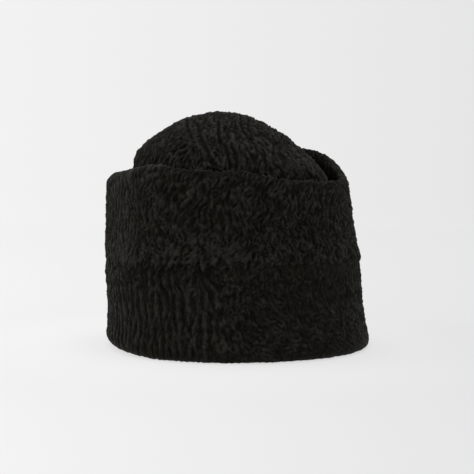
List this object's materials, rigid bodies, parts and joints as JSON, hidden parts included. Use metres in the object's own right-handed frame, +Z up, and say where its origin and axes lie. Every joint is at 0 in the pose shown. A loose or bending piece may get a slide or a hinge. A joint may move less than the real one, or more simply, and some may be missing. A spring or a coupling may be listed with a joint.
{
  "type": "karakul cap",
  "caption": "Tall oval black fur cap: a wall of sewn strips, peaked in front and higher behind, round a domed crown, open below for the head.",
  "frame": {"origin": "middle of the base, on the surface that the cap stands on", "axes": "+Z up, -Y towards the front of the cap, +X towards the wearer's left"},
  "size_m": [0.1854, 0.2144, 0.1695],
  "materials": {
    "crown_fur": "curly lambskin fur, satin sheen on the curls",
    "lower_band_fur": "ribbed lambskin fur, satin sheen on the curls",
    "upper_band_fur": "curly lambskin fur, satin sheen on the curls"
  },
  "bodies": {
    "root": {"crown": "crown_fur", "lower_band": "lower_band_fur", "upper_band": "upper_band_fur"}
  },
  "joints": []
}
